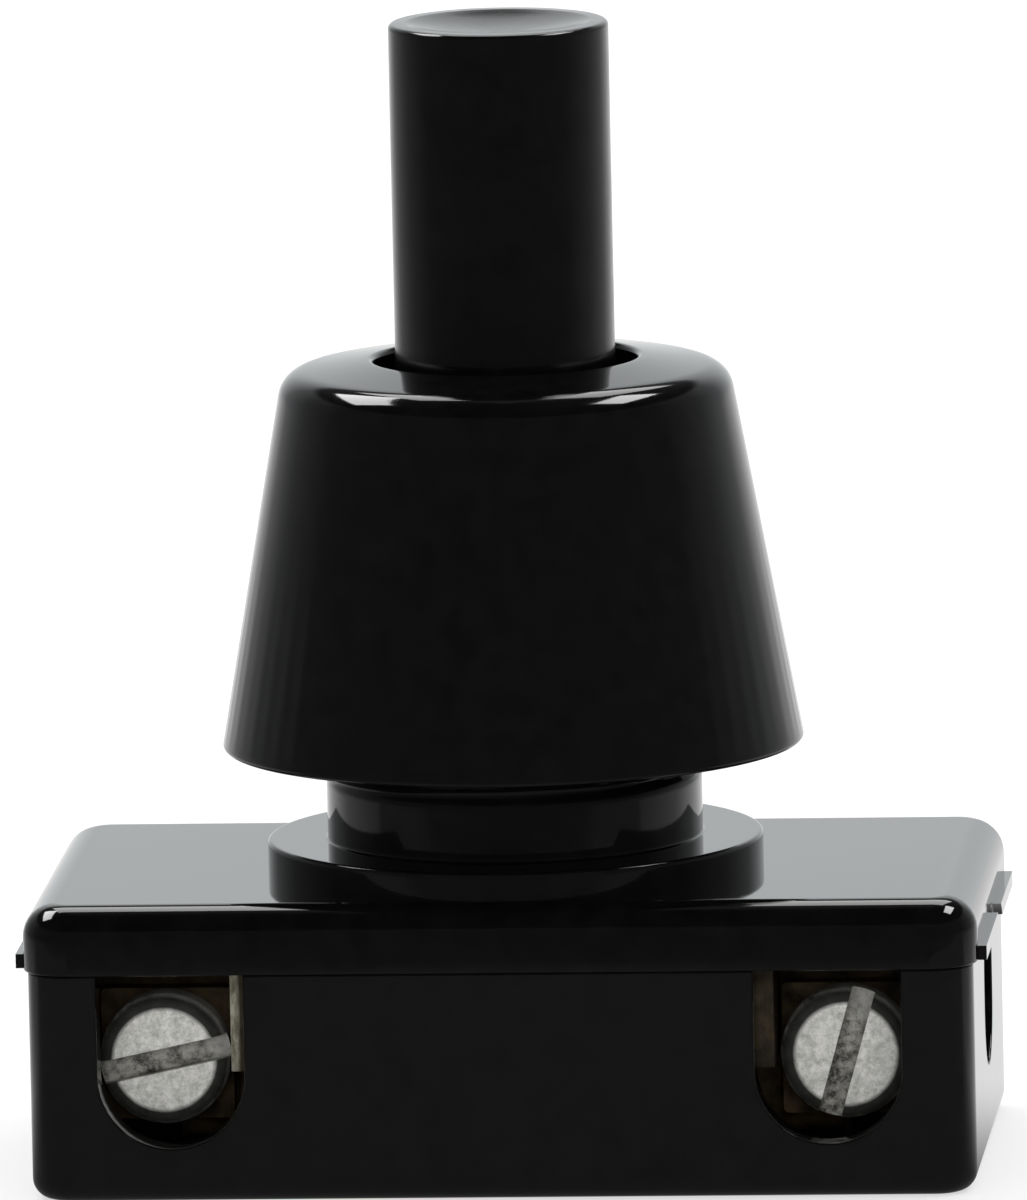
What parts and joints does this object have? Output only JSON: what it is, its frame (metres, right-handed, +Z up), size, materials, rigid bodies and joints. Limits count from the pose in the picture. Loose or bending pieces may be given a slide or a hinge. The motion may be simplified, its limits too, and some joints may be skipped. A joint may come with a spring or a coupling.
{
  "type": "push-button lamp switch",
  "caption": "Built-in push-button lamp switch: shallow moulded housing with side screw terminals, round flange, threaded neck, conical ring nut and long cylindrical button.",
  "frame": {"origin": "centre of the housing's underside, below the button's axis", "axes": "+Z up along the button and neck, +X along the housing, -Y towards the side with the screw notches"},
  "size_m": [0.0258, 0.0154, 0.0304],
  "materials": {
    "housing_black": "gloss",
    "button_black": "satin",
    "rotor_plastic": "satin",
    "terminal_brass": "satin",
    "screw_nickel": "satin",
    "contact_silver": "satin",
    "spring_steel": "satin"
  },
  "bodies": {
    "housing": {"top_cover": "housing_black", "base_box": "housing_black", "axle_pin": "spring_steel", "return_spring": "spring_steel", "terminal_left": "terminal_brass", "terminal_right": "terminal_brass", "contact_rivet_left": "contact_silver", "contact_rivet_right": "contact_silver"},
    "nut": {"ring_nut": "housing_black"},
    "button": {"push_button": "button_black"},
    "rotor": {"ratchet_rotor": "rotor_plastic", "contact_leaf": "terminal_brass", "leaf_pin_left": "terminal_brass", "leaf_pin_right": "terminal_brass", "spring_seat": "spring_steel"},
    "clamp_left": {"clamp_washer_left": "terminal_brass"},
    "clamp_right": {"clamp_washer_right": "terminal_brass"},
    "screw_left": {"terminal_screw_left": "screw_nickel"},
    "screw_right": {"terminal_screw_right": "screw_nickel"}
  },
  "joints": [
    {"name": "button_press", "type": "slide", "parent": "housing", "child": "button", "axis": [0, 0, -1], "range_m": [0, 0.003], "stiffness_N_per_m": 300, "springref_m": -0.004, "deforming": ["return_spring"]},
    {"name": "rotor_turn", "type": "hinge", "parent": "housing", "child": "rotor", "pos_m": [0, 0, 0.00245], "axis": [0, 0, 1], "range_deg": [0, 45]},
    {"name": "nut_lift", "type": "slide", "parent": "housing", "child": "nut", "axis": [0, 0, 1], "range_m": [-0.002, 0.02]},
    {"name": "clamp_left_slide", "type": "slide", "parent": "housing", "child": "clamp_left", "axis": [0, -1, 0], "range_m": [0, 0.0008]},
    {"name": "clamp_right_slide", "type": "slide", "parent": "housing", "child": "clamp_right", "axis": [0, -1, 0], "range_m": [0, 0.0008]},
    {"name": "screw_left_turn", "type": "hinge", "parent": "clamp_left", "child": "screw_left", "pos_m": [-0.00905, 0, 0.0035], "axis": [0, -1, 0], "range_deg": [0, 720]},
    {"name": "screw_right_turn", "type": "hinge", "parent": "clamp_right", "child": "screw_right", "pos_m": [0.00905, 0, 0.0035], "axis": [0, -1, 0], "range_deg": [0, 720]}
  ],
  "couplings": [
    {"joint": "rotor_turn", "follows": "button_press", "rad_per_m": 261.8},
    {"joint": "screw_left_turn", "follows": "clamp_left_slide", "rad_per_m": 15708},
    {"joint": "screw_right_turn", "follows": "clamp_right_slide", "rad_per_m": 15708}
  ]
}
